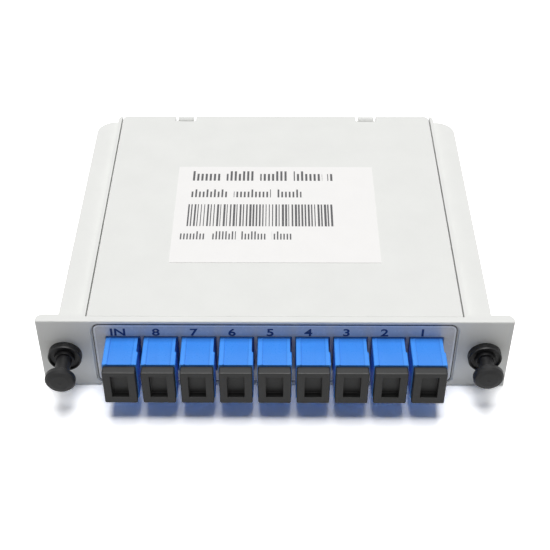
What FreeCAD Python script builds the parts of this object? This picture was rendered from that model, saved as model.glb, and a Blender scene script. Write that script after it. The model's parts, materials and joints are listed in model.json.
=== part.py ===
import FreeCAD, Part
import math
import os
import re
import Sketcher
from FreeCAD import Placement, Rotation, Vector

# Slide-in splitter cassette: a moulded tray with a front panel and guide wings, a snap-on cover,
# nine through adapters with dust caps in front and plugs behind, a planar splitter module with
# its fibre tubes, and two push-pull latches.
# Frame: origin at the middle of the underside, +X to the right along the panel, +Y to the rear,
# +Z up.  Millimetres.

os.makedirs("parts", exist_ok=True)
doc = FreeCAD.newDocument("splitter_cassette")

LENGTH_TOLERANCE = 1e-3          # mm, when a test looks for an edge at a height or side
VOLUME_TOLERANCE = 0.01          # share of a tube's volume

# ---------------------------------------------------------------- driving sizes
SIZES = {
    # case
    "panel_height": 25.0,
    "case_depth": 100.0,         # panel face to rear face
    "ear_reach": 12.4,           # ear's end beyond the side wall
    "ear_thick": 2.8,
    "ear_rounding": 2.0,         # rear upright edges of the ears
    "panel_edge_rounding": 0.4,
    "wall_thick": 2.0,
    "wall_edge_rounding": 0.5,   # outer lower edges of the case
    "floor_thick": 1.8,
    "cover_thick": 2.0,
    "cover_corner": 1.8,
    "cover_edge_rounding": 0.3,
    "cover_gap": 0.3,            # between the cover and the wall lips
    "lip_thick": 1.1,
    "rebate_depth": 0.8,         # step behind the panel for the cover's front edge
    "rebate_gap": 0.1,
    "overcut": 1.0,              # how far a cut runs past what it cuts
    "skirt_drop": 1.8,           # locating skirt under the cover
    "skirt_thick": 1.2,
    "skirt_gap": 0.25,
    "skirt_lead": 2.0,           # comb to the skirt's front
    "hold_down_gap": 0.2,
    # guide wings
    "wing_reach": 6.65,          # beyond the side walls
    "wing_thick": 2.0,
    "wing_drop": 1.5,            # below the cover's top
    "wing_setback": 1.5,         # short of the rear face
    "wing_corner": 6.0,
    "wing_root": 1.8,
    # snap hooks at the rear
    "hook_centre": 30.1,
    "hook_width": 5.2,
    "hook_thick": 1.1,
    "hook_barb": 0.5,
    "hook_sink": 0.2,            # hook's top below the cover's top
    "hook_slope": 0.5,
    "hook_root": 1.0,
    "hook_gap": 0.1,
    "notch_width": 6.7,
    "notch_depth": 3.0,
    "notch_drop": 1.0,
    # label recess on the panel
    "recess_reach": 3.45,        # beyond the port row
    "recess_margin": 0.95,       # above and below the recess
    "recess_depth": 0.5,
    "recess_corner": 2.5,
    "film_thick": 0.2,
    "film_gap": 0.45,
    "film_window_gap": 0.2,
    # paper label on the cover
    "paper_width": 60.8,
    "paper_length": 46.4,
    "paper_thick": 0.12,
    "paper_setback": 24.4,       # panel face to the paper's front edge
    # ports and adapters
    "port_count": 9,
    "port_gap": 1.1,             # between neighbouring adapters
    "port_margin": 3.8,          # port row to the inside of the side wall
    "adapter_width": 9.3,
    "adapter_height": 12.8,
    "adapter_length": 28.4,
    "adapter_proud": 10.3,
    "adapter_gap": 0.1,          # in the panel windows
    "adapter_rounding": 0.35,
    "flange_height": 16.2,
    "flange_thick": 1.6,
    "socket_width": 7.5,
    "socket_height": 9.1,
    "web_thick": 1.2,
    "holder_radius": 2.5,
    "holder_length": 11.6,
    "arm_length": 6.5,
    "arm_width": 2.0,
    "arm_thick": 0.6,
    "arm_offset": 2.8,
    "side_step": 0.46,
    "side_step_length": 5.4,
    "keyway_width": 2.7,
    "keyway_depth": 0.9,
    "keyway_root": 0.5,
    "strip_rise": 0.15,
    "strip_root": 0.3,
    "strip_width": 0.5,
    "strip_inset": 1.0,
    "strip_gap": 0.1,            # strip's end to the panel
    # dust caps
    "cap_width": 8.9,
    "cap_height": 11.6,
    "cap_proud": 2.7,
    "cap_insert": 8.0,
    "cap_insert_root": 0.1,
    "cap_play": 0.1,
    "cap_wall": 1.0,
    "cap_floor": 0.5,
    "cap_rounding": 0.4,
    "pocket_width": 4.6,
    "pocket_height": 7.8,
    "pocket_raise": 0.5,
    "pocket_depth": 1.8,
    # sleeves, ferrules and plugs behind the adapters
    "ferrule_radius": 1.25,
    "sleeve_play": 0.05,
    "sleeve_thick": 0.3,
    "sleeve_length": 11.0,
    "sleeve_slit": 0.4,
    "plug_play": 0.1,
    "plug_length": 20.0,
    "plug_hollow": 6.5,
    "plug_nose_gap": 0.3,        # around the sleeve holder
    "plug_arm_gap": 0.2,
    "groove_count": 3,
    "groove_pitch": 1.6,
    "groove_width": 0.8,
    "groove_depth": 0.35,
    "groove_inset": 2.0,
    "boot_length": 11.0,
    "boot_radius": 2.3,
    "boot_tip_radius": 1.1,
    "boot_root": 0.5,
    "fibre_radius": 0.45,
    # splitter module
    "module_length": 50.0,
    "module_width": 7.0,
    "module_height": 4.0,
    "module_wall": 0.4,
    "module_setback": 10.0,      # module axis to the rear face
    "end_plug_length": 4.0,
    "chip_width": 4.0,
    "chip_height": 2.2,
    "cradle_reach": 16.0,        # cradles left and right of the middle
    "cradle_thick": 3.0,
    "cradle_gap": 0.1,
    "cradle_wall": 1.5,
    "cradle_drop": 0.8,          # below the module's top
    # fibre layout
    "level_count": 2,            # tubes above each other at the module
    "level_gap": 0.1,
    "track_gap": 0.2,            # between neighbouring tubes
    "track_margin": 3.05,        # outermost tube to the side wall
    "bend_radius": 8.0,
    "module_lead": 1.0,          # straight run out of the module
    "feed_lead": 2.6,            # straight run into the module
    "boot_lead": 2.5,            # straight run behind each boot
    "fan_run": 11.0,             # boot's end to the first tube that crosses over
    "fan_rise": 5.0,
    "outer_drop": 5.5,           # how much sooner the outermost tube turns
    "outer_rise": 8.0,
    "drum_radius": 7.5,
    "drum_wall": 1.4,
    "drum_height": 16.0,
    "drum_offset": 1.0,          # drum's middle beyond the module's end
    "drum_setback": 13.5,        # drum's middle to the module's middle
    # push-pull latches
    "latch_offset": 5.45,        # latch's middle to the side wall
    "latch_flange_radius": 4.65,
    "latch_flange_thick": 2.0,
    "latch_flange_bevel": 0.3,
    "latch_flange_draft": 0.15,
    "dish_radius": 4.2,
    "dish_depth": 0.6,
    "barrel_radius": 3.4,
    "barrel_gap": 0.1,
    "barrel_length": 11.0,
    "barb_rise": 0.4,
    "barb_length": 2.4,
    "barb_lip": 0.6,             # full-size part of the barb, sunk in the ear
    "barb_gap": 0.2,
    "shaft_radius": 2.1,
    "shaft_play": 0.1,
    "leg_wall": 0.7,
    "leg_slot": 0.8,
    "leg_root": 0.7,             # behind the ear, where the slots begin
    "hub_rise": 0.6,
    "hub_wall": 0.7,
    "hub_draft": 0.1,
    "shoulder_depth": 0.2,
    "flare_rise": 0.8,           # where the shaft widens into the knob
    "flare_length": 0.9,
    "knob_radius": 4.15,
    "knob_thick": 2.6,
    "crown_rise": 0.1,
    "crown_inset": 1.65,
    "knob_edge": 0.5,
    "knob_edge_rise": 0.4,
    "knob_edge_length": 1.0,
    "knob_out": 9.3,             # knob face ahead of the flange, pulled out
    "right_knob_in": 1.5,        # how far in the right knob stands at rest
    "collar_length": 1.2,
    "collar_gap": 0.1,
    "tip_length": 4.4,
    "tip_radius": 1.25,
}

# ---------------------------------------------------------------- derived sizes
DERIVED = {
    "front_y": "-case_depth / 2",
    "rear_y": "case_depth / 2",
    "panel_back": "front_y + ear_thick",
    "port_z": "panel_height / 2",
    "seat_z": "panel_height - cover_thick",
    "port_pitch": "adapter_width + port_gap",
    "ports_half": "(port_count - 1) * port_pitch / 2",
    "row_half": "port_count * port_pitch / 2",
    "cavity_half": "row_half + port_margin",
    "wall_half": "cavity_half + wall_thick",
    "pocket_half": "wall_half - lip_thick",
    "cover_half": "pocket_half - cover_gap",
    "panel_half": "wall_half + ear_reach",
    "recess_half": "row_half + recess_reach",
    "window_half_width": "adapter_width / 2 + adapter_gap",
    "window_half_height": "adapter_height / 2 + adapter_gap",
    "cavity_rear": "rear_y - wall_thick",
    "wing_half": "wall_half + wing_reach",
    "wing_top": "panel_height - wing_drop",
    "wing_rear": "rear_y - wing_setback",
    "rebate_y": "panel_back - rebate_depth",
    "comb_y": "panel_back + flange_thick + adapter_gap",
    "adapter_back": "adapter_length - adapter_proud",
    "adapter_mid": "adapter_length / 2 - adapter_proud",
    "socket_floor": "adapter_mid - web_thick / 2",
    "socket_floor_rear": "adapter_mid + web_thick / 2",
    "sleeve_bore": "ferrule_radius + sleeve_play",
    "sleeve_radius": "sleeve_bore + sleeve_thick",
    "holder_bore": "sleeve_radius + sleeve_play * 2",
    "plug_start": "socket_floor_rear + plug_play * 3",
    "plug_end": "plug_start + plug_length",
    "boot_end": "plug_end + boot_length",
    "plug_half_width": "socket_width / 2 - plug_play",
    "plug_half_height": "socket_height / 2 - plug_play",
    "module_y": "rear_y - module_setback",
    "module_half": "module_length / 2",
    "track_pitch": "2 * fibre_radius + track_gap",
    "level_pitch": "2 * fibre_radius + level_gap",
    "track_x": "cavity_half - track_margin - fibre_radius",
    "fan_start": "front_y + boot_end + fan_run",
    "feed_radius": "ports_half - module_half - feed_lead",
    "drum_x": "module_half + drum_offset",
    "drum_y": "module_y - drum_setback",
    "latch_x": "wall_half + latch_offset",
    "barb_y": "ear_thick - barb_lip",
    "barb_radius": "barrel_radius + barb_rise",
    "shaft_bore": "shaft_radius + shaft_play",
    "hub_radius": "shaft_bore + hub_wall",
    "leg_bore": "barrel_radius - leg_wall",
    "shoulder_y": "ear_thick + shoulder_depth",
    "collar_y": "shoulder_y + collar_gap",
    "collar_end": "collar_y + collar_length",
    "collar_radius": "leg_bore - shaft_play",
    "flange_face": "-latch_flange_thick",
    "knob_face": "flange_face - knob_out",
    "knob_back": "knob_face + knob_thick",
}

params = doc.addObject("Spreadsheet::Sheet", "params")
for row, (alias, size) in enumerate(SIZES.items(), 1):
    params.set(f"A{row}", alias)
    params.set(f"B{row}", str(size))
    params.setAlias(f"B{row}", alias)
derived = doc.addObject("Spreadsheet::Sheet", "derived")
doc.recompute()


def bound(text):
    """The expression with every size name pointed at its sheet."""
    def qualify(match):
        word = match.group(0)
        if word in SIZES:
            return "params." + word
        if word in DERIVED:
            return "derived." + word
        return word
    return re.sub(r"[a-z_]+", qualify, str(text))


for row, (alias, rule) in enumerate(DERIVED.items(), 1):
    derived.set(f"A{row}", alias)
    derived.set(f"B{row}", "=" + bound(rule).replace("derived.", ""))
    derived.setAlias(f"B{row}", alias)
doc.recompute()


def number(text):
    """The present value of an expression."""
    return float(params.evalExpression(bound(text)))


# ---------------------------------------------------------------- modelling helpers
SIDES = (("left", "-"), ("right", ""))


def about(middle, half):
    """The span that reaches half to each side of a middle."""
    return (f"{middle} - ({half})", f"{middle} + ({half})")


def new_body(label, place=("0", "0", "0")):
    body = doc.addObject("PartDesign::Body", label)
    body.Label = label
    for axis, rule in zip("xyz", place):
        body.setExpression(f"Placement.Base.{axis}", bound(rule))
    return body


def box(body, name, x, y, z, cut=False):
    """A box between low and high expressions on each axis, added or cut."""
    kind = "SubtractiveBox" if cut else "AdditiveBox"
    feature = body.newObject("PartDesign::" + kind, name)
    for size, axis, (low, high) in zip(("Length", "Width", "Height"), "xyz", (x, y, z)):
        feature.setExpression(size, bound(f"({high}) - ({low})"))
        feature.setExpression(f"Placement.Base.{axis}", bound(low))
    return feature


def rod(body, name, radius, y, x="0", z="0", cut=False):
    """A cylinder along Y between two expressions."""
    kind = "SubtractiveCylinder" if cut else "AdditiveCylinder"
    feature = body.newObject("PartDesign::" + kind, name)
    feature.Placement = Placement(Vector(), Rotation(Vector(1, 0, 0), -90))
    feature.setExpression("Radius", bound(radius))
    feature.setExpression("Height", bound(f"({y[1]}) - ({y[0]})"))
    for axis, rule in zip("xyz", (x, y[0], z)):
        feature.setExpression(f"Placement.Base.{axis}", bound(rule))
    return feature


def post(body, name, radius, x, y, z, cut=False):
    """An upright cylinder between two heights."""
    kind = "SubtractiveCylinder" if cut else "AdditiveCylinder"
    feature = body.newObject("PartDesign::" + kind, name)
    feature.setExpression("Radius", bound(radius))
    feature.setExpression("Height", bound(f"({z[1]}) - ({z[0]})"))
    for axis, rule in zip("xyz", (x, y, z[0])):
        feature.setExpression(f"Placement.Base.{axis}", bound(rule))
    return feature


def origin_part(body, role):
    return next(item for item in body.Origin.OriginFeatures if item.Role == role)


def repeat_about(body, name, feature):
    """Repeat a feature at every port pitch."""
    pattern = body.newObject("PartDesign::LinearPattern", name)
    pattern.Originals = [feature]
    pattern.Direction = (origin_part(body, "X_Axis"), [""])
    pattern.setExpression("Length", bound("(port_count - 1) * port_pitch"))
    pattern.setExpression("Occurrences", bound("port_count"))
    body.Tip = pattern
    return pattern


def profile(body, name, plane, points):
    """A closed straight-sided outline whose corners are pairs of expressions."""
    sketch = body.newObject("Sketcher::SketchObject", name)
    sketch.AttachmentSupport = [(origin_part(body, plane), "")]
    sketch.MapMode = "FlatFace"
    corners = [Vector(number(across), number(up), 0) for across, up in points]
    for start, end in zip(corners, corners[1:] + corners[:1]):
        sketch.addGeometry(Part.LineSegment(start, end))
    for side in range(len(corners)):
        sketch.addConstraint(Sketcher.Constraint("Coincident", side, 2, (side + 1) % len(corners), 1))
    for side, (corner, rules) in enumerate(zip(corners, points)):
        for kind, size, rule in zip(("DistanceX", "DistanceY"), (corner.x, corner.y), rules):
            index = sketch.addConstraint(Sketcher.Constraint(kind, -1, 1, side, 1, size))
            label = f"{kind.lower()}_{side}"
            sketch.renameConstraint(index, label)
            sketch.setExpression("Constraints." + label, bound(rule))
    return sketch


def turned(body, name, points):
    """A solid turned about the body's Y axis from (radius, distance) corners."""
    sketch = profile(body, name + "_outline", "XY_Plane", points)
    feature = body.newObject("PartDesign::Revolution", name)
    feature.Profile = sketch
    feature.ReferenceAxis = (sketch, ["V_Axis"])
    feature.Angle = 360
    return feature


def padded(body, name, plane, points, thick, cut=False):
    """A straight-sided outline given a thickness, half to each side of its plane."""
    sketch = profile(body, name + "_outline", plane, points)
    feature = body.newObject("PartDesign::Pocket" if cut else "PartDesign::Pad", name)
    feature.Profile = sketch
    feature.Midplane = True
    feature.setExpression("Length", bound(thick))
    return feature, sketch


def runs_along(edge, axis):
    """True for a straight edge parallel to the axis."""
    if edge.Curve.TypeId != "Part::GeomLine":
        return False
    direction = edge.tangentAt(edge.FirstParameter)
    return abs(abs(getattr(direction, axis)) - 1) < 1e-6


def near(value, rule):
    return abs(value - number(rule)) < LENGTH_TOLERANCE


def rounded(body, name, radius, picks, kind="Fillet"):
    """Round or chamfer the edges of the body's tip that a test picks."""
    doc.recompute()
    base = body.Tip
    names = [f"Edge{index}" for index, edge in enumerate(base.Shape.Edges, 1) if picks(edge)]
    if not names:
        raise RuntimeError(f"{body.Label}: no edge found for {name}")
    feature = body.newObject("PartDesign::" + kind, name)
    feature.Base = (base, names)
    feature.setExpression("Radius" if kind == "Fillet" else "Size", bound(radius))
    return feature


# ---------------------------------------------------------------- tray
FIRST_WINDOW = about("-ports_half", "window_half_width")
PORT_ROW = ("-row_half", "row_half")


def tray_shell(tray):
    """Front panel, walls, guide wings and the seats for the cover."""
    box(tray, "panel", ("-panel_half", "panel_half"), ("front_y", "panel_back"), ("0", "panel_height"))
    box(tray, "case", ("-wall_half", "wall_half"), ("rebate_y", "rear_y"), ("0", "panel_height"))
    rounded(tray, "case_corners", "cover_corner",
            lambda edge: runs_along(edge, "z") and near(edge.CenterOfMass.y, "rear_y"))
    rounded(tray, "case_base_edges", "wall_edge_rounding",
            lambda edge: near(edge.BoundBox.ZMax, "0") and edge.BoundBox.YMax > number("panel_back")
            and not near(edge.BoundBox.YMax, "panel_back"))
    box(tray, "wings", ("-wing_half", "wing_half"), ("rebate_y", "wing_rear"),
        ("wing_top - wing_thick", "wing_top"))
    rounded(tray, "wing_corners", "wing_corner",
            lambda edge: runs_along(edge, "z") and near(edge.CenterOfMass.y, "wing_rear")
            and near(abs(edge.CenterOfMass.x), "wing_half"))
    rounded(tray, "wing_roots", "wing_root",
            lambda edge: runs_along(edge, "z") and near(edge.CenterOfMass.y, "panel_back")
            and near(abs(edge.CenterOfMass.x), "wing_half"))
    rounded(tray, "ear_edges", "ear_rounding",
            lambda edge: runs_along(edge, "z") and near(edge.CenterOfMass.y, "panel_back")
            and near(abs(edge.CenterOfMass.x), "panel_half"))
    rounded(tray, "panel_edges", "panel_edge_rounding",
            lambda edge: near(edge.CenterOfMass.y, "front_y"))
    box(tray, "cavity", ("-cavity_half", "cavity_half"), ("panel_back", "cavity_rear"),
        ("floor_thick", "panel_height + overcut"), cut=True)
    box(tray, "cover_seat", ("-pocket_half", "pocket_half"), ("rebate_y", "rear_y + overcut"),
        ("seat_z", "panel_height + overcut"), cut=True)


def tray_front(tray):
    """Label recess, port windows, and latch holes with a sunk seat for the barb."""
    box(tray, "label_recess", ("-recess_half", "recess_half"),
        ("front_y - overcut", "front_y + recess_depth"),
        ("recess_margin", "panel_height - recess_margin"), cut=True)
    rounded(tray, "recess_corners", "recess_corner",
            lambda edge: runs_along(edge, "y") and near(abs(edge.CenterOfMass.x), "recess_half")
            and near(edge.BoundBox.YMax, "front_y + recess_depth"))
    window = box(tray, "port_window", FIRST_WINDOW, ("front_y - overcut", "panel_back + overcut"),
                 ("port_z - window_half_height", "port_z + window_half_height"), cut=True)
    repeat_about(tray, "port_windows", window)
    for side, sign in SIDES:
        rod(tray, f"latch_hole_{side}", "barrel_radius + barrel_gap",
            ("front_y - overcut", "panel_back + overcut"), x=f"{sign}latch_x", z="port_z", cut=True)
        rod(tray, f"barb_seat_{side}", "barb_radius + barb_gap",
            ("front_y + barb_y", "panel_back + overcut"), x=f"{sign}latch_x", z="port_z", cut=True)


def tray_inside(tray):
    """Comb that holds the adapter flanges, fibre drums, module cradles and snap hooks."""
    box(tray, "comb", PORT_ROW, ("comb_y", "comb_y + flange_thick"),
        ("floor_thick", "port_z + adapter_height / 2"))
    slot = box(tray, "comb_slot", FIRST_WINDOW, ("comb_y - overcut", "comb_y + flange_thick + overcut"),
               ("port_z - window_half_height", "panel_height"), cut=True)
    repeat_about(tray, "comb_slots", slot)
    for side, sign in SIDES:
        x = f"{sign}drum_x"
        post(tray, f"drum_{side}", "drum_radius", x, "drum_y", ("floor_thick", "drum_height"))
        post(tray, f"drum_bore_{side}", "drum_radius - drum_wall", x, "drum_y",
             ("floor_thick", "drum_height + overcut"), cut=True)
        middle = f"{sign}cradle_reach"
        slot_half = "(module_width / 2 + cradle_gap)"
        box(tray, f"cradle_{side}", about(middle, "cradle_thick / 2"),
            about("module_y", f"{slot_half} + cradle_wall"),
            ("floor_thick", "port_z + module_height / 2 - cradle_drop"))
        box(tray, f"cradle_slot_{side}", about(middle, "cradle_thick"), about("module_y", slot_half),
            ("port_z - module_height / 2", "port_z + module_height"), cut=True)


def snap_hook(tray, side, sign):
    """A hook that rises from the rear wall and laps over the cover's ledge."""
    stem_front = "rear_y - hook_thick"
    barb_front = "rear_y - hook_thick - hook_barb"
    top = "panel_height - hook_sink"
    lap = "panel_height - notch_drop + hook_gap"
    points = [
        (stem_front, "seat_z - hook_root"),
        ("rear_y", "seat_z - hook_root"),
        ("rear_y", top),
        (stem_front, top),
        (barb_front, f"{top} - hook_slope"),
        (barb_front, lap),
        (stem_front, lap),
    ]
    hook, sketch = padded(tray, f"hook_{side}", "YZ_Plane", points, "hook_width")
    sketch.setExpression("AttachmentOffset.Base.z", bound(f"{sign}hook_centre"))


def make_tray():
    tray = new_body("lower_tray")
    tray_shell(tray)
    tray_front(tray)
    tray_inside(tray)
    for side, sign in SIDES:
        snap_hook(tray, side, sign)
    return tray


# ---------------------------------------------------------------- cover
def make_cover():
    """Flat cover with a locating skirt, hold-down rib and two notches for the hooks."""
    cover = new_body("top_cover")
    box(cover, "plate", ("-cover_half", "cover_half"), ("rebate_y + rebate_gap", "rear_y"),
        ("seat_z", "panel_height"))
    rounded(cover, "rear_corners", "cover_corner",
            lambda edge: runs_along(edge, "z") and near(edge.CenterOfMass.y, "rear_y"))
    rounded(cover, "top_edges", "cover_edge_rounding",
            lambda edge: near(edge.CenterOfMass.z, "panel_height"))
    for side, sign in SIDES:
        across = about(f"{sign}hook_centre", "notch_width / 2")
        box(cover, f"notch_{side}", across, ("rear_y - notch_depth", "rear_y + overcut"),
            ("panel_height - notch_drop", "panel_height + overcut"), cut=True)
        box(cover, f"hook_slot_{side}", across, ("rear_y - hook_thick - hook_gap", "rear_y + overcut"),
            ("seat_z - overcut", "panel_height"), cut=True)
    skirt_half = "(cavity_half - skirt_gap)"
    front = "(comb_y + flange_thick + skirt_lead)"
    rear = "(cavity_rear - skirt_gap)"
    box(cover, "skirt", (f"-{skirt_half}", skirt_half), (front, rear), ("seat_z - skirt_drop", "seat_z"))
    box(cover, "skirt_inside", (f"-{skirt_half} + skirt_thick", f"{skirt_half} - skirt_thick"),
        (f"{front} + skirt_thick", f"{rear} - skirt_thick"), ("seat_z - skirt_drop - overcut", "seat_z"),
        cut=True)
    box(cover, "hold_down", PORT_ROW, ("panel_back + hold_down_gap", "comb_y - hold_down_gap"),
        ("port_z + flange_height / 2 + adapter_gap", "seat_z"))
    return cover


# ---------------------------------------------------------------- labels
def make_film():
    """Clear-coated port strip in the panel recess, with a window for each adapter."""
    film = new_body("port_strip")
    box(film, "strip", ("-recess_half + film_gap", "recess_half - film_gap"),
        ("front_y + recess_depth - film_thick", "front_y + recess_depth"),
        ("recess_margin + film_gap", "panel_height - recess_margin - film_gap"))
    rounded(film, "strip_corners", "recess_corner - film_gap", lambda edge: runs_along(edge, "y"))
    window = box(film, "window", about("-ports_half", "adapter_width / 2 + film_window_gap"),
                 ("front_y - overcut", "front_y + recess_depth + overcut"),
                 about("port_z", "adapter_height / 2 + film_window_gap"), cut=True)
    repeat_about(film, "windows", window)
    return film


def make_paper():
    paper = new_body("cover_label")
    box(paper, "sheet", about("0", "paper_width / 2"),
        ("front_y + paper_setback", "front_y + paper_setback + paper_length"),
        ("panel_height", "panel_height + paper_thick"))
    return paper


# ---------------------------------------------------------------- adapters and what they hold
PORTS = ["in"] + [str(number_on_panel) for number_on_panel in range(int(SIZES["port_count"]) - 1, 0, -1)]


def port_place(index):
    return (f"{index} * port_pitch - ports_half", "front_y", "port_z")


def make_adapter(port, index):
    """Through adapter: square body, rear flange, two sockets and the sleeve holder between them."""
    adapter = new_body(f"adapter_{port}", port_place(index))
    half_w, half_h = "adapter_width / 2", "adapter_height / 2"
    box(adapter, "barrel", (f"-{half_w}", half_w), ("-adapter_proud", "adapter_back"),
        (f"-{half_h}", half_h))
    rounded(adapter, "barrel_edges", "adapter_rounding", lambda edge: runs_along(edge, "y"))
    box(adapter, "flange", (f"-{half_w}", half_w), ("ear_thick", "ear_thick + flange_thick"),
        ("-flange_height / 2", "flange_height / 2"))
    box(adapter, "side_step", (f"{half_w} - side_step", f"{half_w} + overcut"), ("-side_step_length", "0"),
        ("-adapter_height", "adapter_height"), cut=True)
    box(adapter, "strip", (f"-{half_w} + strip_inset", f"-{half_w} + strip_inset + strip_width"),
        ("-adapter_proud", "-strip_gap"), (f"{half_h} - strip_root", f"{half_h} + strip_rise"))
    for end, y in (("front", ("-adapter_proud - overcut", "socket_floor")),
                   ("rear", ("socket_floor_rear", "adapter_back + overcut"))):
        box(adapter, f"socket_{end}", about("0", "socket_width / 2"), y, about("0", "socket_height / 2"),
            cut=True)
        box(adapter, f"keyway_{end}", about("0", "keyway_width / 2"), y,
            ("socket_height / 2 - keyway_root", "socket_height / 2 + keyway_depth"), cut=True)
    for level, z in (("top", ("arm_offset", "arm_offset + arm_thick")),
                     ("bottom", ("-arm_offset - arm_thick", "-arm_offset"))):
        box(adapter, f"arm_{level}", about("0", "arm_width / 2"), about("adapter_mid", "arm_length"), z)
    rod(adapter, "holder", "holder_radius", about("adapter_mid", "holder_length / 2"))
    rod(adapter, "holder_bore", "holder_bore", about("adapter_mid", "holder_length"), cut=True)
    return adapter


def make_cap(port, index):
    """Dust cap: a hollow insert that fits the socket and a grip block with a sunk front."""
    cap = new_body(f"dust_cap_{port}", port_place(index))
    front = "-adapter_proud - cap_proud"
    box(cap, "grip", about("0", "cap_width / 2"), (front, "-adapter_proud"), about("0", "cap_height / 2"))
    rounded(cap, "grip_edges", "cap_rounding",
            lambda edge: runs_along(edge, "y") or near(edge.CenterOfMass.y, front))
    half_w, half_h = "(socket_width / 2 - cap_play)", "(socket_height / 2 - cap_play)"
    box(cap, "insert", (f"-{half_w}", half_w),
        ("-adapter_proud - cap_insert_root", "-adapter_proud + cap_insert"), (f"-{half_h}", half_h))
    box(cap, "insert_hollow", (f"-{half_w} + cap_wall", f"{half_w} - cap_wall"),
        ("-adapter_proud + cap_floor", "-adapter_proud + cap_insert + overcut"),
        (f"-{half_h} + cap_wall", f"{half_h} - cap_wall"), cut=True)
    box(cap, "grip_pocket", about("0", "pocket_width / 2"), (f"{front} - overcut", f"{front} + pocket_depth"),
        about("pocket_raise", "pocket_height / 2"), cut=True)
    return cap


def make_sleeve(port, index):
    """Split ceramic sleeve that lines up the two ferrules."""
    sleeve = new_body(f"split_sleeve_{port}", port_place(index))
    cut_span = about("adapter_mid", "sleeve_length / 2 + overcut")
    rod(sleeve, "tube", "sleeve_radius", about("adapter_mid", "sleeve_length / 2"))
    rod(sleeve, "bore", "sleeve_bore", cut_span, cut=True)
    box(sleeve, "slit", about("0", "sleeve_slit / 2"), cut_span, ("0", "sleeve_radius + overcut"), cut=True)
    return sleeve


def make_plug(port, index):
    """Rear plug: housing with its key and grip grooves, ferrule, and tapered boot."""
    plug = new_body(f"plug_{port}", port_place(index))
    box(plug, "housing", ("-plug_half_width", "plug_half_width"), ("plug_start", "plug_end"),
        ("-plug_half_height", "plug_half_height"))
    box(plug, "key", about("0", "keyway_width / 2 - plug_play"),
        ("plug_start", "plug_start + plug_length / 2"),
        ("plug_half_height - keyway_root", "socket_height / 2 + keyway_depth - plug_play"))
    for groove in range(int(SIZES["groove_count"])):
        end = f"plug_end - groove_inset - {groove} * groove_pitch"
        for side, sign in SIDES:
            box(plug, f"groove_{side}_{groove}", about(f"{sign}plug_half_width", "groove_depth"),
                (f"{end} - groove_width", end),
                ("-plug_half_height - overcut", "plug_half_height + overcut"), cut=True)
    box(plug, "nose_hollow", about("0", "holder_radius + plug_nose_gap"),
        ("plug_start - overcut", "plug_start + plug_hollow"),
        about("0", "arm_offset + arm_thick + plug_arm_gap"), cut=True)
    rod(plug, "ferrule", "ferrule_radius", ("adapter_mid", "plug_start + plug_hollow + overcut"))
    boot = plug.newObject("PartDesign::AdditiveCone", "boot")
    boot.Placement = Placement(Vector(), Rotation(Vector(1, 0, 0), -90))
    boot.setExpression("Radius1", bound("boot_radius"))
    boot.setExpression("Radius2", bound("boot_tip_radius"))
    boot.setExpression("Height", bound("boot_length + boot_root"))
    boot.setExpression("Placement.Base.y", bound("plug_end - boot_root"))
    return plug


# ---------------------------------------------------------------- splitter module
def make_module():
    """Steel tube with the glass chip block inside and a moulded plug in each end."""
    middle = ("0", "module_y", "port_z")
    half_w, half_h = "module_width / 2", "module_height / 2"
    tube = new_body("splitter_tube", middle)
    box(tube, "outside", ("-module_half", "module_half"), (f"-{half_w}", half_w), (f"-{half_h}", half_h))
    rounded(tube, "outside_edges", "module_wall * 2", lambda edge: runs_along(edge, "x"))
    inner_w, inner_h = f"({half_w} - module_wall)", f"({half_h} - module_wall)"
    box(tube, "inside", about("0", "module_half + overcut"), (f"-{inner_w}", inner_w),
        (f"-{inner_h}", inner_h), cut=True)
    chip = new_body("splitter_chip", middle)
    box(chip, "glass", about("0", "module_half - end_plug_length"), about("0", "chip_width / 2"),
        (f"-{inner_h}", f"-{inner_h} + chip_height"))
    pieces = [tube, chip]
    for end, x in (("in", ("-module_half", "-module_half + end_plug_length")),
                   ("out", ("module_half - end_plug_length", "module_half"))):
        plug = new_body(f"module_end_{end}", middle)
        box(plug, "block", x, (f"-{inner_w}", inner_w), (f"-{inner_h}", inner_h))
        pieces.append(plug)
    return pieces


# ---------------------------------------------------------------- fibre tubes
def tube_along(points, bends):
    """A round tube along straight runs joined by tangent arcs of the given radii."""
    edges = []
    start = points[0]
    for before, corner, after, radius in zip(points, points[1:], points[2:], bends):
        arriving = (corner - before).normalize()
        leaving = (after - corner).normalize()
        half_turn = arriving.getAngle(leaving) / 2
        setback = radius * math.tan(half_turn)
        entry = corner - arriving * setback
        exit_point = corner + leaving * setback
        inward = (leaving - arriving).normalize()
        middle = corner + inward * (radius / math.cos(half_turn) - radius)
        edges.append(Part.LineSegment(start, entry).toShape())
        edges.append(Part.Arc(entry, middle, exit_point).toShape())
        start = exit_point
    edges.append(Part.LineSegment(start, points[-1]).toShape())
    path = Part.Wire(edges)
    section = Part.Wire([Part.makeCircle(number("fibre_radius"), points[0], points[1] - points[0])])
    solid = path.makePipeShell([section], True, False)
    expected = math.pi * number("fibre_radius") ** 2 * path.Length
    if abs(solid.Volume / expected - 1) > VOLUME_TOLERANCE:
        raise RuntimeError("fibre tube volume differs from its section times its length")
    return solid


def boot_end(index):
    """The end of a plug's boot."""
    x = number(f"{index} * port_pitch - ports_half")
    return Vector(x, number("front_y + boot_end"), number("port_z"))


def make_feed():
    """The input tube: back along the left side and round into the module's left end."""
    start = boot_end(0)
    module_end = Vector(number("-module_half"), number("module_y"), number("port_z"))
    corner = Vector(start.x, module_end.y, start.z)
    return tube_along([start, corner, module_end], [number("feed_radius")])


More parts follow.
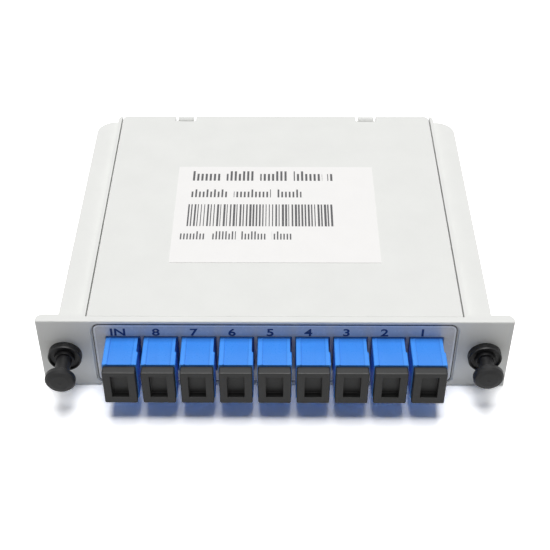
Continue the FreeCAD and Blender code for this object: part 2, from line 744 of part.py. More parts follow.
def make_output(order):
    """One output tube; order 0 is port 1, the outermost track, and each next one lies inside it."""
    outputs = int(SIZES["port_count"]) - 1
    levels = int(SIZES["level_count"])
    columns = math.ceil(outputs / levels)
    column, level = divmod(order, levels)
    pitch = number("track_pitch")
    end = boot_end(outputs - order)
    leave_y = number("module_y") + ((columns - 1) / 2 - column) * pitch
    leave_z = number("port_z") + ((levels - 1) / 2 - level) * number("level_pitch")
    track_x = number("track_x") - order * pitch
    fan_y = number("fan_start") + (order - 1) * pitch
    fan_end = fan_y + number("fan_rise")
    if order == 0:
        fan_y = number("fan_start - outer_drop")
        fan_end = fan_y + number("outer_rise")
    bend = number("bend_radius")
    widest_bend = track_x - number("module_half + module_lead")
    points = [
        Vector(number("module_half"), leave_y, leave_z),
        Vector(track_x, leave_y, leave_z),
        Vector(track_x, fan_end, leave_z),
        Vector(end.x, fan_y, leave_z),
        end + Vector(0, number("boot_lead"), 0),
        end,
    ]
    return tube_along(points, [min(widest_bend, leave_y - fan_end - bend), bend, bend, bend])


def make_fibre(label, solid):
    piece = doc.addObject("Part::Feature", label)
    piece.Label = label
    piece.Shape = solid
    piece.Placement = Placement()
    return piece


# ---------------------------------------------------------------- latches
def make_grommet(side, sign):
    """Latch grommet: dished flange, hub, barb sunk in the back of the ear, and four split legs."""
    grommet = new_body(f"latch_grommet_{side}", (f"{sign}latch_x", "front_y", "port_z"))
    turned(grommet, "turning", [
        ("shaft_bore", "flange_face - hub_rise"),
        ("hub_radius - hub_draft", "flange_face - hub_rise"),
        ("hub_radius", "flange_face + dish_depth"),
        ("dish_radius", "flange_face + dish_depth"),
        ("dish_radius", "flange_face"),
        ("latch_flange_radius - latch_flange_draft", "flange_face"),
        ("latch_flange_radius", "flange_face + latch_flange_bevel"),
        ("latch_flange_radius", "0"),
        ("barrel_radius", "0"),
        ("barrel_radius", "barb_y"),
        ("barb_radius", "barb_y"),
        ("barb_radius", "barb_y + barb_lip"),
        ("barrel_radius", "barb_y + barb_length"),
        ("barrel_radius", "barrel_length"),
        ("leg_bore", "barrel_length"),
        ("leg_bore", "shoulder_y"),
        ("shaft_bore", "shoulder_y"),
    ])
    wide, narrow = "barrel_radius + overcut", "leg_slot / 2"
    for name, x, z in (("slot_across", wide, narrow), ("slot_upright", narrow, wide)):
        box(grommet, name, about("0", x), ("ear_thick + leg_root", "barrel_length + overcut"),
            about("0", z), cut=True)
    return grommet


def make_plunger(side, sign, pushed):
    """Latch plunger: domed knob, waisted shaft, stop collar and tapered tip."""
    plunger = new_body(f"latch_plunger_{side}", (f"{sign}latch_x", f"front_y + {pushed}", "port_z"))
    turned(plunger, "turning", [
        ("0", "knob_face"),
        ("knob_radius - crown_inset", "knob_face + crown_rise"),
        ("knob_radius - knob_edge", "knob_face + knob_edge_rise"),
        ("knob_radius", "knob_face + knob_edge_length"),
        ("knob_radius", "knob_back - knob_edge"),
        ("knob_radius - knob_edge", "knob_back"),
        ("shaft_radius + flare_rise", "knob_back"),
        ("shaft_radius", "knob_back + flare_length"),
        ("shaft_radius", "collar_y"),
        ("collar_radius", "collar_y"),
        ("collar_radius", "collar_end"),
        ("shaft_radius", "collar_end"),
        ("tip_radius", "collar_end + tip_length"),
        ("0", "collar_end + tip_length"),
    ])
    return plunger


# ---------------------------------------------------------------- the assembly
pieces = [make_tray(), make_cover(), make_film(), make_paper()]
for index, port in enumerate(PORTS):
    pieces += [make_adapter(port, index), make_cap(port, index)]
    pieces += [make_sleeve(port, index), make_plug(port, index)]
pieces += make_module()
pieces.append(make_fibre("fibre_in", make_feed()))
for order in range(len(PORTS) - 1):
    pieces.append(make_fibre(f"fibre_{order + 1}", make_output(order)))
for (side, sign), pushed in zip(SIDES, ("0", "right_knob_in")):
    pieces += [make_grommet(side, sign), make_plunger(side, sign, pushed)]
doc.recompute()

for item in doc.Objects:
    if "Invalid" in item.State or "Error" in item.State:
        raise RuntimeError(f"{item.Label} failed: {item.State}")
for piece in pieces:
    if piece.Shape.isNull() or not piece.Shape.isValid():
        raise RuntimeError(f"{piece.Label} has no valid shape")
    if len(piece.Shape.Solids) != 1:
        raise RuntimeError(f"{piece.Label} has {len(piece.Shape.Solids)} solids")
for piece in pieces:
    piece.Shape.exportStep(f"parts/{piece.Label}.step")
    bounds = piece.Shape.BoundBox
    print(f"{piece.Label:22s} {piece.Shape.Volume:10.2f} mm3  x {bounds.XMin:8.2f} {bounds.XMax:8.2f}"
          f"  y {bounds.YMin:8.2f} {bounds.YMax:8.2f}  z {bounds.ZMin:7.2f} {bounds.ZMax:7.2f}")
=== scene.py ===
import bmesh
import bpy
import json
import math
from mathutils import Matrix, Vector

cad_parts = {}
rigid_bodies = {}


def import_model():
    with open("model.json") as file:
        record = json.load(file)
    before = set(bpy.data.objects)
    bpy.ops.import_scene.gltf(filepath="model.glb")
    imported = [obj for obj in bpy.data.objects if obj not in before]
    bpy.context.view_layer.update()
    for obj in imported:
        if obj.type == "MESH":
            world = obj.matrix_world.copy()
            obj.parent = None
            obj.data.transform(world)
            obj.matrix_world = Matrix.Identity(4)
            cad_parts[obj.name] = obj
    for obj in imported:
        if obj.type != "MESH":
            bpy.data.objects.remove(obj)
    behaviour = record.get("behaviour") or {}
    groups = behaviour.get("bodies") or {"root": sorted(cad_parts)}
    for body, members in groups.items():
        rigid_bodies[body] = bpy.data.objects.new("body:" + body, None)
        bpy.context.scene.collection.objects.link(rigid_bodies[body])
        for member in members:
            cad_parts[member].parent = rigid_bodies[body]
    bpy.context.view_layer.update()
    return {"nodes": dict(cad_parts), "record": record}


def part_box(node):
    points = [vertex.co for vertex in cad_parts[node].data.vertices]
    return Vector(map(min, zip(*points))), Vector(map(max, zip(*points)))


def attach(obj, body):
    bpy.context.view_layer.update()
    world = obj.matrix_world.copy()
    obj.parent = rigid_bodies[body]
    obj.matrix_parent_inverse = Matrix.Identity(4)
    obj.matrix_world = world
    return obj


# Slide-in fibre splitter: light grey case, blue square adapters with black dust caps, two push-pull
# latches.  Everything is in metres, with +X to the right along the panel and +Z up.

for leftover in list(bpy.data.objects):    # an empty file, whatever it was opened from
    bpy.data.objects.remove(leftover)
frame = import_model()
mm = 0.001


class Wire:    # a shader socket, so that its maths is written as plain arithmetic
    def __init__(self, tree, socket=None):
        self.tree = tree
        self.socket = socket

    def node(self, kind, settings=None, values=None, out=0):    # settings first, then sockets
        made = self.tree.nodes.new(kind)
        for name, value in (settings or {}).items():
            setattr(made, name, value)
        for name, value in (values or {}).items():
            if isinstance(value, Wire):
                self.tree.links.new(value.socket, made.inputs[name])
            else:
                made.inputs[name].default_value = value
        return Wire(self.tree, made.outputs[out] if made.outputs else None)

    def maths(self, operation, *terms):
        return self.node("ShaderNodeMath", {"operation": operation}, dict(enumerate(terms)))

    def floor(self):
        return self.maths("FLOOR", self)

    def fraction(self):
        return self.maths("FRACT", self)

    def size(self):
        return self.maths("ABSOLUTE", self)

    def root(self):
        return self.maths("SQRT", self)

    def atLeast(self, least):
        return self.maths("MAXIMUM", self, least)

    def __add__(self, other):
        return self.maths("ADD", self, other)

    def __radd__(self, other):
        return self.maths("ADD", other, self)

    def __sub__(self, other):
        return self.maths("SUBTRACT", self, other)

    def __rsub__(self, other):
        return self.maths("SUBTRACT", other, self)

    def __mul__(self, other):
        return self.maths("MULTIPLY", self, other)

    def __rmul__(self, other):
        return self.maths("MULTIPLY", other, self)

    def __truediv__(self, other):
        return self.maths("DIVIDE", self, other)

    def __gt__(self, other):
        return self.maths("GREATER_THAN", self, other)

    def __lt__(self, other):
        return self.maths("LESS_THAN", self, other)


def solid(colour):    # a colour with its alpha
    return colour + (1.0,)


def shade(colour, factor):
    return solid(tuple(channel * factor for channel in colour))


objectOutput = 3    # of Texture Coordinate


def objectPlace(wire):
    return wire.node("ShaderNodeTexCoord", out=objectOutput)


def axis(wire, out):    # one object coordinate, in millimetres
    return wire.node("ShaderNodeSeparateXYZ", {}, {0: objectPlace(wire)}, out) / mm


def noise(wire, size, detail=2.0, roughness=0.5, stretch=(1.0, 1.0, 1.0)):    # size of one lump
    place = wire.node("ShaderNodeMapping", {}, {"Vector": objectPlace(wire), "Scale": stretch})
    return wire.node("ShaderNodeTexNoise", {}, {
        "Vector": place, "Scale": 1.0 / size, "Detail": detail, "Roughness": roughness})


def mixed(wire, factor, first, second):    # sockets 6 and 7 are Mix's two colours, 2 is its result
    return wire.node("ShaderNodeMix", {"data_type": "RGBA"}, {0: factor, 6: first, 7: second}, 2)


def spread(wire, source, band, newLow=0.0, newHigh=1.0):
    return wire.node("ShaderNodeMapRange", {"clamp": True}, {
        "Value": source, "From Min": band[0], "From Max": band[1],
        "To Min": newLow, "To Max": newHigh})


noiseBand = (0.3, 0.7)    # where nearly all of a noise lies


def rough(wire, height, depth):    # a bump of this many metres
    return wire.node("ShaderNodeBump", {}, {"Height": height, "Distance": depth, "Strength": 1.0})


def inside(value, low, high):
    return (value > low) * (value < high)


def material(name, build):
    made = bpy.data.materials.new(name)
    made.use_nodes = True
    made.node_tree.nodes.clear()
    wire = Wire(made.node_tree)
    skin = wire.node("ShaderNodeBsdfPrincipled", {}, build(wire))
    wire.node("ShaderNodeOutputMaterial", {}, {"Surface": skin})
    return made


casePaint = {
    "colour": (0.780, 0.785, 0.765), "gloss": 0.42, "dull": 0.56,
    "grain": 0.45 * mm, "grainDetail": 3.0, "grainCrumble": 0.6, "grainDepth": 0.012 * mm,
    "mottle": 9 * mm, "mottleDetail": 3.0, "mottleDark": 0.985, "mottleLight": 1.015,
    "flow": 27 * mm, "flowDetail": 2.0, "flowCrumble": 0.5, "flowStretch": (1.0, 0.15, 1.0),
    "flowBand": (0.45, 0.75), "flowShare": 0.35, "flowDark": 0.965,
    "scuff": 1.4 * mm, "scuffDetail": 5.0, "scuffCrumble": 0.7, "scuffStretch": (1.0, 0.12, 1.0),
    "scuffBand": (0.60, 0.74), "scuffPolish": 0.06, "scuffHeight": 0.15,
}


def mouldedPlastic(wire):    # spark-eroded grain, faint mottling, a little handling wear
    paint = casePaint
    grain = noise(wire, paint["grain"], paint["grainDetail"], paint["grainCrumble"])
    lumps = noise(wire, paint["mottle"], paint["mottleDetail"])
    flow = noise(wire, paint["flow"], paint["flowDetail"], paint["flowCrumble"],
                 paint["flowStretch"])
    scratches = noise(wire, paint["scuff"], paint["scuffDetail"], paint["scuffCrumble"],
                      paint["scuffStretch"])
    scuff = spread(wire, scratches, paint["scuffBand"])
    tone = mixed(wire, spread(wire, lumps, noiseBand),
                 shade(paint["colour"], paint["mottleDark"]),
                 shade(paint["colour"], paint["mottleLight"]))
    tone = mixed(wire, spread(wire, flow, paint["flowBand"]) * paint["flowShare"],
                 tone, shade(paint["colour"], paint["flowDark"]))
    roughness = spread(wire, grain, noiseBand, paint["gloss"], paint["dull"])
    return {"Base Color": tone, "Roughness": roughness - scuff * paint["scuffPolish"],
            "Normal": rough(wire, grain + scuff * paint["scuffHeight"], paint["grainDepth"])}


filmPaint = {
    # the dark edge colour is painted shade of the gap round the film; the pale colour is dust on
    # the film and also a painted highlight band along its edge
    "colour": (0.66, 0.655, 0.655), "pale": (0.86, 0.87, 0.88), "outline": (0.07, 0.07, 0.08),
    "corner": 2.05, "line": 0.32, "highlightBand": 0.80,    # millimetres in from the edge
    "mottle": 12 * mm, "mottleDark": 0.98, "mottleLight": 1.02,
    "peel": 1.1 * mm, "peelDepth": 0.01 * mm, "gloss": 0.2, "dull": 0.3,
    "dust": 0.5 * mm, "dustBand": (0.66, 0.78), "dustShare": 0.12, "dustDull": 0.1,
    "coat": 0.25, "coatRoughness": 0.12,
}
filmLow, filmHigh = [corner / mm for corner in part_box("port_strip")]


def printedFilm(wire):    # satin film, faintly orange-peeled, with painted shade of the gap round its edge and a painted highlight band just inside it
    paint = filmPaint
    peel = noise(wire, paint["peel"])
    dust = spread(wire, noise(wire, paint["dust"]), paint["dustBand"])
    tone = mixed(wire, spread(wire, noise(wire, paint["mottle"]), noiseBand),
                 shade(paint["colour"], paint["mottleDark"]),
                 shade(paint["colour"], paint["mottleLight"]))
    tone = mixed(wire, dust * paint["dustShare"], tone, solid(paint["pale"]))
    beyond = []    # how far past the corner's middle, each way
    for out, low, high in ((0, filmLow.x, filmHigh.x), (2, filmLow.z, filmHigh.z)):
        fromMiddle = (axis(wire, out) - (low + high) / 2).size()
        beyond.append((fromMiddle - ((high - low) / 2 - paint["corner"])).atLeast(0))
    reach = (beyond[0] * beyond[0] + beyond[1] * beyond[1]).root()
    inward = paint["corner"] - reach
    # painted highlight: a pale band just inside the edge, as if the film's edge caught the light;
    # the same pale colour is also the film's dust
    tone = mixed(wire, inward < paint["highlightBand"], tone, solid(paint["pale"]))
    # painted shade: the dark edge line stands in for the shadowed gap round the film
    tone = mixed(wire, inward < paint["line"], tone, solid(paint["outline"]))
    roughness = spread(wire, peel, noiseBand, paint["gloss"], paint["dull"])
    return {"Base Color": tone, "Roughness": roughness + dust * paint["dustDull"],
            "Coat Weight": paint["coat"], "Coat Roughness": paint["coatRoughness"],
            "Normal": rough(wire, peel, paint["peelDepth"])}


adapterPaint = {
    "colour": (0.045, 0.275, 0.88), "deep": (0.022, 0.18, 0.70), "gloss": 0.24, "dull": 0.34,
    "flow": 2.5 * mm, "flowDetail": 4.0, "flowCrumble": 0.6, "flowStretch": (1.0, 0.2, 1.0),
    "flowBand": (0.35, 0.75), "flowShare": 0.25, "flowHeight": 0.5, "flowDull": 0.04,
    "grain": 0.35 * mm, "grainDepth": 0.006 * mm,
    # the rail colour is a painted highlight on the side rails, the groove share paints shade into
    # the grooves
    "railHighlight": (0.065, 0.33, 0.95), "railInside": 3.35, "railHighlightShare": 0.7,
    "groove": 0.22, "grooveShadeShare": 0.45, "grooveDepth": 0.05 * mm,
    # painted shade where the adapter enters the film
    "seat": (0.012, 0.06, 0.26), "seatLength": 0.6, "seatShare": 0.75,
}
firstPort, nextPort = [sum(corner.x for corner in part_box(name)) / 2 / mm
                       for name in ("adapter_in", "adapter_8")]
pitch = nextPort - firstPort


def adapterPlastic(wire):    # flow lines along its length, a rail down each side painted lighter as a highlight, painted shade in its grooves and where it enters the film
    paint = adapterPaint
    flow = noise(wire, paint["flow"], paint["flowDetail"], paint["flowCrumble"],
                 paint["flowStretch"])
    grain = noise(wire, paint["grain"])
    tone = mixed(wire, spread(wire, flow, paint["flowBand"]) * paint["flowShare"],
                 solid(paint["colour"]), solid(paint["deep"]))
    turns = (axis(wire, 0) - firstPort) / pitch    # whole at each adapter's middle
    aside = (((turns + 0.5).fraction() - 0.5) * pitch).size()
    railHighlight = aside > paint["railInside"]
    groove = inside(aside, paint["railInside"] - paint["groove"], paint["railInside"])
    # painted highlight: the side rails are coloured lighter, as if they caught the light
    tone = mixed(wire, railHighlight * paint["railHighlightShare"], tone, solid(paint["railHighlight"]))
    # painted shade: the grooves are coloured darker, as shade falls in them
    tone = mixed(wire, groove * paint["grooveShadeShare"], tone, solid(paint["deep"]))
    # painted shade: a dark blue band where the adapter passes into the film, standing in for its
    # contact shadow
    seat = axis(wire, 1) > filmLow.y - paint["seatLength"]    # darker where it enters the film
    tone = mixed(wire, seat * paint["seatShare"], tone, solid(paint["seat"]))
    bumps = wire.node("ShaderNodeBump", {"invert": True}, {
        "Height": groove, "Distance": paint["grooveDepth"], "Strength": 1.0,
        "Normal": rough(wire, grain + flow * paint["flowHeight"], paint["grainDepth"])})
    roughness = spread(wire, grain, noiseBand, paint["gloss"], paint["dull"])
    return {"Base Color": tone, "Roughness": roughness + flow * paint["flowDull"], "Normal": bumps}


capPaint = {
    "colour": (0.008, 0.008, 0.0078), "pale": (0.016, 0.016, 0.0155), "gloss": 0.42, "dull": 0.54,
    "grain": 0.4 * mm, "grainDetail": 3.0, "grainCrumble": 0.6, "grainDepth": 0.008 * mm,
    "haze": 3.0 * mm, "hazeDetail": 4.0, "hazeCrumble": 0.6, "hazeBand": (0.45, 0.75),
    "hazeShare": 0.5, "hazeDull": 0.04,
}


def capPlastic(wire):    # soft black moulding, dusty in its grain
    paint = capPaint
    grain = noise(wire, paint["grain"], paint["grainDetail"], paint["grainCrumble"])
    clouds = noise(wire, paint["haze"], paint["hazeDetail"], paint["hazeCrumble"])
    haze = spread(wire, clouds, paint["hazeBand"])
    roughness = spread(wire, grain, noiseBand, paint["gloss"], paint["dull"])
    return {"Base Color": mixed(wire, haze * paint["hazeShare"],
                                solid(paint["colour"]), solid(paint["pale"])),
            "Roughness": roughness + haze * paint["hazeDull"],
            "Normal": rough(wire, grain, paint["grainDepth"])}


latchPaint = {
    "colour": (0.006, 0.006, 0.0066), "worn": (0.018, 0.018, 0.019), "gloss": 0.36, "dull": 0.5,
    "grain": 0.3 * mm, "grainDetail": 3.0, "grainCrumble": 0.6, "grainDepth": 0.01 * mm,
    "touch": 1.8 * mm, "touchDetail": 4.0, "touchCrumble": 0.65, "touchBand": (0.5, 0.72),
    "touchShare": 0.4, "touchDull": 0.06, "specular": 0.4,
}


def latchNylon(wire):    # black nylon with a fine grain and touch marks
    paint = latchPaint
    grain = noise(wire, paint["grain"], paint["grainDetail"], paint["grainCrumble"])
    marks = noise(wire, paint["touch"], paint["touchDetail"], paint["touchCrumble"])
    touch = spread(wire, marks, paint["touchBand"])
    roughness = spread(wire, grain, noiseBand, paint["gloss"], paint["dull"])
    return {"Base Color": mixed(wire, touch * paint["touchShare"],
                                solid(paint["colour"]), solid(paint["worn"])),
            "Roughness": roughness + touch * paint["touchDull"],
            "Specular IOR Level": paint["specular"],
            "Normal": rough(wire, grain, paint["grainDepth"])}


# Marks on the label are rows of plain upright ticks and one field of bars: nothing to be read.
# Places are in millimetres on the label.  A row's pitch is from tick to tick, a word is from gap
# to gap.
labelPrint = {
    "paper": (0.875, 0.865, 0.855), "ink": (0.045, 0.045, 0.05), "gloss": 0.42, "dull": 0.55,
    "mottle": 6 * mm, "mottleDetail": 3.0, "mottleDark": 0.99, "mottleLight": 1.005,
    "fibres": 0.5 * mm, "fibreDetail": 4.0, "fibreCrumble": 0.7, "fibreDepth": 0.006 * mm,
    "inkBand": (0.25, 0.45), "inkThin": 0.8, "inkFull": 0.96, "inkGloss": 0.08,
    "shortTick": 0.72, "tallAbove": 0.6, "wordGap": 1.6,
    "rows": [
        {"left": -25.8, "right": 18.2, "bottom": 13.5, "top": 18.5,
         "pitch": 1.30, "fill": 0.52, "word": 10.5},
        {"left": -25.8, "right": 8.0, "bottom": 5.0, "top": 9.0,
         "pitch": 1.15, "fill": 0.48, "word": 13.0},
        {"left": -28.0, "right": 5.0, "bottom": -15.3, "top": -11.5,
         "pitch": 0.95, "fill": 0.46, "word": 9.0},
    ],
    "bars": {"left": -26.4, "right": 17.5, "bottom": -9.1, "top": 1.5,
             "module": 0.98, "thin": 0.26, "vary": 0.46},
}


def dice(wire, number):    # one chance value for each number
    return wire.node("ShaderNodeTexWhiteNoise", {"noise_dimensions": "1D"}, {"W": number})


def labelPaper(wire):
    paint = labelPrint
    across = axis(wire, 0)
    along = axis(wire, 1)
    bars = paint["bars"]
    slot = across / bars["module"]
    ink = inside(across, bars["left"], bars["right"]) * inside(along, bars["bottom"], bars["top"])
    ink = ink * (slot.fraction() < dice(wire, slot.floor()) * bars["vary"] + bars["thin"])
    for row in paint["rows"]:
        step = (across - row["left"]) / row["pitch"]
        tallTick = dice(wire, step.floor() + row["top"]) > paint["tallAbove"]
        reach = paint["shortTick"] + (1 - paint["shortTick"]) * tallTick
        tickTop = row["bottom"] + (row["top"] - row["bottom"]) * reach
        word = (across - row["left"]) / row["word"]
        gap = word.fraction() < (1 - paint["wordGap"] / row["word"])
        mark = inside(across, row["left"], row["right"]) * (along > row["bottom"])
        mark = mark * (tickTop > along)
        ink = ink + mark * gap * (step.fraction() < row["fill"])
    fibres = noise(wire, paint["fibres"], paint["fibreDetail"], paint["fibreCrumble"])
    lumps = noise(wire, paint["mottle"], paint["mottleDetail"])
    sheet = mixed(wire, spread(wire, lumps, noiseBand),
                  shade(paint["paper"], paint["mottleDark"]),
                  shade(paint["paper"], paint["mottleLight"]))
    cover = ink * spread(wire, fibres, paint["inkBand"], paint["inkThin"], paint["inkFull"])
    roughness = spread(wire, fibres, noiseBand, paint["gloss"], paint["dull"])
    return {"Base Color": mixed(wire, cover, sheet, solid(paint["ink"])),
            "Roughness": roughness - ink * paint["inkGloss"],
            "Normal": rough(wire, fibres, paint["fibreDepth"])}


inkPaint = {"worn": (0.035, 0.06, 0.17), "full": (0.016, 0.026, 0.11), "gloss": 0.4, "dull": 0.5,
            "wear": 0.2 * mm, "wearDetail": 3.0, "wearBand": (0.35, 0.5), "wearDepth": 0.003 * mm}


def portInk(wire):
    paint = inkPaint
    wear = spread(wire, noise(wire, paint["wear"], paint["wearDetail"]), paint["wearBand"])
    return {"Base Color": mixed(wire, wear, solid(paint["worn"]), solid(paint["full"])),
            "Roughness": spread(wire, wear, (0.0, 1.0), paint["dull"], paint["gloss"]),
            "Normal": rough(wire, wear, paint["wearDepth"])}


def grained(wire, paint):    # the inner pieces: one noise leads colour, roughness and bump
    grain = noise(wire, paint["grain"], paint["detail"], paint.get("crumble", 0.5),
                  paint.get("stretch", (1.0, 1.0, 1.0)))
    return {"Base Color": mixed(wire, grain, solid(paint["dark"]), solid(paint["light"])),
            "Roughness": spread(wire, grain, noiseBand, paint["gloss"], paint["dull"]),
            "Normal": rough(wire, grain, paint["depth"])}


sleevePaint = {"dark": (0.90, 0.89, 0.85), "light": (0.95, 0.94, 0.90), "gloss": 0.14, "dull": 0.24,
               "grain": 0.15 * mm, "detail": 2.0, "stretch": (1.0, 0.05, 1.0), "depth": 0.002 * mm}


def sleeveCeramic(wire):    # ground along its length
    return grained(wire, sleevePaint)


plugPaint = {"dark": (0.84, 0.84, 0.81), "light": (0.89, 0.89, 0.87), "gloss": 0.38, "dull": 0.5,
             "grain": 0.35 * mm, "detail": 3.0, "depth": 0.008 * mm, "lumps": 4 * mm}


def plugPlastic(wire):
    made = grained(wire, plugPaint)
    lumps = noise(wire, plugPaint["lumps"])
    made["Base Color"] = mixed(wire, lumps, solid(plugPaint["dark"]), solid(plugPaint["light"]))
    return made


steelPaint = {"dark": (0.52, 0.52, 0.53), "light": (0.68, 0.68, 0.68), "gloss": 0.26, "dull": 0.42,
              "grain": 0.25 * mm, "detail": 4.0, "crumble": 0.6, "stretch": (0.03, 1.0, 1.0),
              "depth": 0.004 * mm, "metallic": 1.0}


def drawnSteel(wire):
    made = grained(wire, steelPaint)
    made["Metallic"] = steelPaint["metallic"]
    return made


glassPaint = {"dark": (0.84, 0.90, 0.91), "light": (0.90, 0.94, 0.95), "gloss": 0.04, "dull": 0.12,
              "grain": 1.2 * mm, "detail": 3.0, "depth": 0.001 * mm, "clear": 0.6, "index": 1.46}


def chipGlass(wire):
    made = grained(wire, glassPaint)
    made["Transmission Weight"] = glassPaint["clear"]
    made["IOR"] = glassPaint["index"]
    return made


resinPaint = {"dark": (0.050, 0.050, 0.055), "light": (0.085, 0.085, 0.090), "gloss": 0.35,
              "dull": 0.6, "grain": 0.5 * mm, "detail": 4.0, "depth": 0.02 * mm}


def endResin(wire):
    return grained(wire, resinPaint)


jacketPaint = {"dark": (0.86, 0.86, 0.80), "light": (0.92, 0.92, 0.88), "gloss": 0.34, "dull": 0.46,
               "grain": 0.3 * mm, "detail": 3.0, "depth": 0.004 * mm}


def fibreJacket(wire):
    return grained(wire, jacketPaint)


finishes = {    # the record's slot, and what it is painted with
    "case_plastic": material("casePlastic", mouldedPlastic),
    "cover_plastic": material("coverPlastic", mouldedPlastic),
    "strip_film": material("stripFilm", printedFilm),
    "label_paper": material("labelPaper", labelPaper),
    "adapter_blue": material("adapterBlue", adapterPlastic),
    "cap_black": material("capBlack", capPlastic),
    "latch_nylon": material("latchNylon", latchNylon),
    "sleeve_ceramic": material("sleeveCeramic", sleeveCeramic),
    "plug_white": material("plugWhite", plugPlastic),
    "module_steel": material("moduleSteel", drawnSteel),
    "chip_glass": material("chipGlass", chipGlass),
    "end_resin": material("endResin", endResin),
    "fibre_jacket": material("fibreJacket", fibreJacket),
}
inkFinish = material("portInk", portInk)
for subpart in frame["record"]["subparts"]:
    node = frame["nodes"][subpart["node"]]
    for holder in node.material_slots:
        holder.link = "OBJECT"
        holder.material = finishes[subpart["material_slot"]]
print("finishes:", len(finishes) + 1)

mouldedEdges = {"width": {"cover_plastic": 0.16 * mm, "cap_black": 0.14 * mm}, "segments": 2,
                "join": 0.001 * mm, "flatWithin": 0.5, "sharpAbove": 40}    # angles in degrees
for subpart in frame["record"]["subparts"]:    # the cover's and caps' edges are broken a little
    if subpart["material_slot"] in mouldedEdges["width"]:
        node = frame["nodes"][subpart["node"]]
        joined = node.modifiers.new("joined", "WELD")
        joined.merge_threshold = mouldedEdges["join"]
        flat = node.modifiers.new("flat", "DECIMATE")
        flat.decimate_type = "DISSOLVE"
        flat.angle_limit = math.radians(mouldedEdges["flatWithin"])
        broken = node.modifiers.new("broken", "BEVEL")
        broken.width = mouldedEdges["width"][subpart["material_slot"]]
        broken.segments = mouldedEdges["segments"]
        broken.limit_method = "ANGLE"
        broken.angle_limit = math.radians(mouldedEdges["sharpAbove"])
        broken.use_clamp_overlap = True    # without it, close edges throw spikes
print("edges done")


portMarks = {"height": 2.7 * mm, "middle": 20.7 * mm, "shift": -1.25 * mm, "wide": 1.2,
             "weight": 0.022, "proud": 0.04 * mm, "sink": 0.02 * mm, "words": {"in": "IN"},
             "draftDepth": 0.1}    # its depth before the letters are brought to size


def addText(name, words, middle, height, front, depth):    # thin letters, upright, facing -Y
    curve = bpy.data.curves.new(name, "FONT")
    curve.body = words
    curve.align_x = "CENTER"
    curve.offset = portMarks["weight"]
    curve.extrude = portMarks["draftDepth"] / 2
    text = bpy.data.objects.new(name, curve)
    bpy.context.scene.collection.objects.link(text)
    bpy.context.view_layer.update()
    ready = text.evaluated_get(bpy.context.evaluated_depsgraph_get())
    mesh = bpy.data.meshes.new_from_object(ready)
    bpy.data.objects.remove(text)
    low, high = [[pick(vertex.co[way] for vertex in mesh.vertices) for way in range(3)]
                 for pick in (min, max)]
    toCorner = Matrix.Translation((-(low[0] + high[0]) / 2, -(low[1] + high[1]) / 2, -low[2]))
    size = height / (high[1] - low[1])
    sized = Matrix.Diagonal((size * portMarks["wide"], size, depth / portMarks["draftDepth"], 1.0))
    upright = Matrix.Rotation(math.radians(90), 4, "X")
    place = Matrix.Translation((middle[0], front + depth, middle[1]))
    mesh.transform(place @ upright @ sized @ toCorner)
    mesh.name = name
    made = bpy.data.objects.new(name, mesh)
    bpy.context.scene.collection.objects.link(made)
    return made


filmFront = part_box("port_strip")[0].y
for subpart in frame["record"]["subparts"]:
    if subpart["node"].startswith("adapter_"):
        port = subpart["node"].split("_")[1]
        low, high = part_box(subpart["node"])
        middle = ((low.x + high.x) / 2 + portMarks["shift"], portMarks["middle"])
        number = addText("port_number_" + port, portMarks["words"].get(port, port), middle,
                         portMarks["height"], filmFront - portMarks["proud"],
                         portMarks["proud"] + portMarks["sink"])
        number.data.materials.clear()
        number.data.materials.append(inkFinish)
        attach(number, "cassette")
print("port numbers done")


studio = {
    "floorSize": 3.0, "floorColour": (0.93, 0.93, 0.93), "floorGloss": 0.06, "floorRoughness": 0.12,
    "floorSeen": (1.7, 1.7, 1.7),    # to the camera alone, so that the open floor burns out white
    "fade": (0.35, 0.8),    # from the floor's own colour to plain white, metres from the part
    "white": (1.0, 1.0, 1.0), "ambient": 0.09,
    "lamp": {"place": (0.0, 0.05, 1.4), "aim": (0.0, 0.0, 0.0), "size": 0.8, "power": 19.7},
}
rayOutputs = {"camera": 0, "glossy": 3, "transmission": 6}    # of Light Path


def rayKind(wire, kind):
    return wire.node("ShaderNodeLightPath", out=rayOutputs[kind])


def lookedAt(wire):    # 1 for the eye, a mirror or a glass, 0 for light that spreads
    rays = rayKind(wire, "camera") + rayKind(wire, "glossy") + rayKind(wire, "transmission")
    return wire.maths("MINIMUM", rays, 1.0)


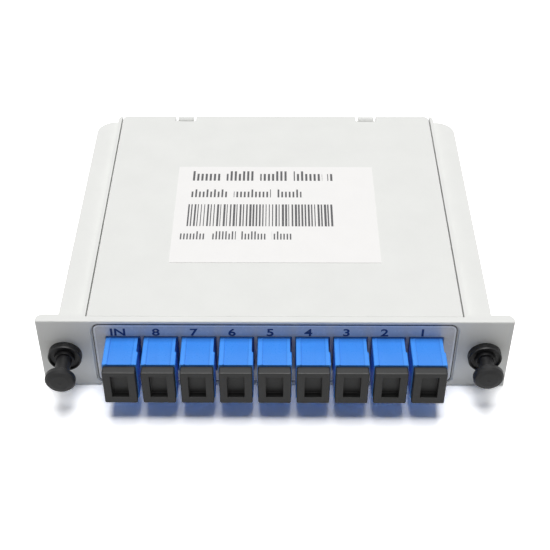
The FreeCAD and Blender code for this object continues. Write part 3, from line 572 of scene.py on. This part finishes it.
def makeFloor():
    floorMesh = bmesh.new()
    bmesh.ops.create_grid(floorMesh, x_segments=1, y_segments=1, size=studio["floorSize"])
    data = bpy.data.meshes.new("floor")
    floorMesh.to_mesh(data)
    floorMesh.free()
    floor = bpy.data.objects.new("floor", data)
    bpy.context.scene.collection.objects.link(floor)
    paint = bpy.data.materials.new("floorWhite")
    paint.use_nodes = True
    paint.node_tree.nodes.clear()
    wire = Wire(paint.node_tree)
    seen = mixed(wire, rayKind(wire, "camera"),
                 solid(studio["floorColour"]), solid(studio["floorSeen"]))
    sheet = wire.node("ShaderNodeBsdfDiffuse", {}, {"Color": seen})
    gloss = wire.node("ShaderNodeBsdfGlossy", {}, {"Roughness": studio["floorRoughness"]})
    both = wire.node("ShaderNodeMixShader", {}, {0: studio["floorGloss"], 1: sheet, 2: gloss})
    away = wire.node("ShaderNodeVectorMath", {"operation": "LENGTH"}, {0: objectPlace(wire)}, 1)
    far = spread(wire, away, studio["fade"]) * lookedAt(wire)
    glow = wire.node("ShaderNodeEmission", {}, {"Color": solid(studio["white"]), "Strength": 1.0})
    whole = wire.node("ShaderNodeMixShader", {}, {0: far, 1: both, 2: glow})
    wire.node("ShaderNodeOutputMaterial", {}, {"Surface": whole})
    data.materials.append(paint)


def makeWorld():    # white where it is looked at, a weak even light on everything else
    world = bpy.data.worlds.new("studio")
    world.use_nodes = True
    world.node_tree.nodes.clear()
    wire = Wire(world.node_tree)
    strength = studio["ambient"] + (1 - studio["ambient"]) * lookedAt(wire)
    back = wire.node("ShaderNodeBackground", {}, {
        "Color": solid(studio["white"]), "Strength": strength})
    wire.node("ShaderNodeOutputWorld", {}, {"Surface": back})
    bpy.context.scene.world = world


def makeLamp():
    lamp = studio["lamp"]
    data = bpy.data.lights.new("softbox", "AREA")
    data.shape = "SQUARE"
    data.size = lamp["size"]
    data.energy = lamp["power"]
    softbox = bpy.data.objects.new("softbox", data)
    bpy.context.scene.collection.objects.link(softbox)
    softbox.location = lamp["place"]
    towards = Vector(lamp["aim"]) - softbox.location
    softbox.rotation_euler = towards.to_track_quat("-Z", "Y").to_euler()


cameraSet = {"lens": 74.13, "sensor": 36.0, "place": (0.000894, -0.27120, 0.23639),
             "tilt": 48.666, "turn": 0.0037}    # the tilt in degrees, the turn in radians


def makeCamera():
    data = bpy.data.cameras.new("camera")
    data.lens = cameraSet["lens"]
    data.sensor_width = cameraSet["sensor"]
    camera = bpy.data.objects.new("camera", data)
    bpy.context.scene.collection.objects.link(camera)
    camera.location = cameraSet["place"]
    camera.rotation_euler = (math.radians(cameraSet["tilt"]), 0.0, cameraSet["turn"])
    bpy.context.scene.camera = camera


makeFloor()
makeWorld()
makeLamp()
makeCamera()
bpy.context.scene.view_settings.view_transform = "Standard"
print("stage done")
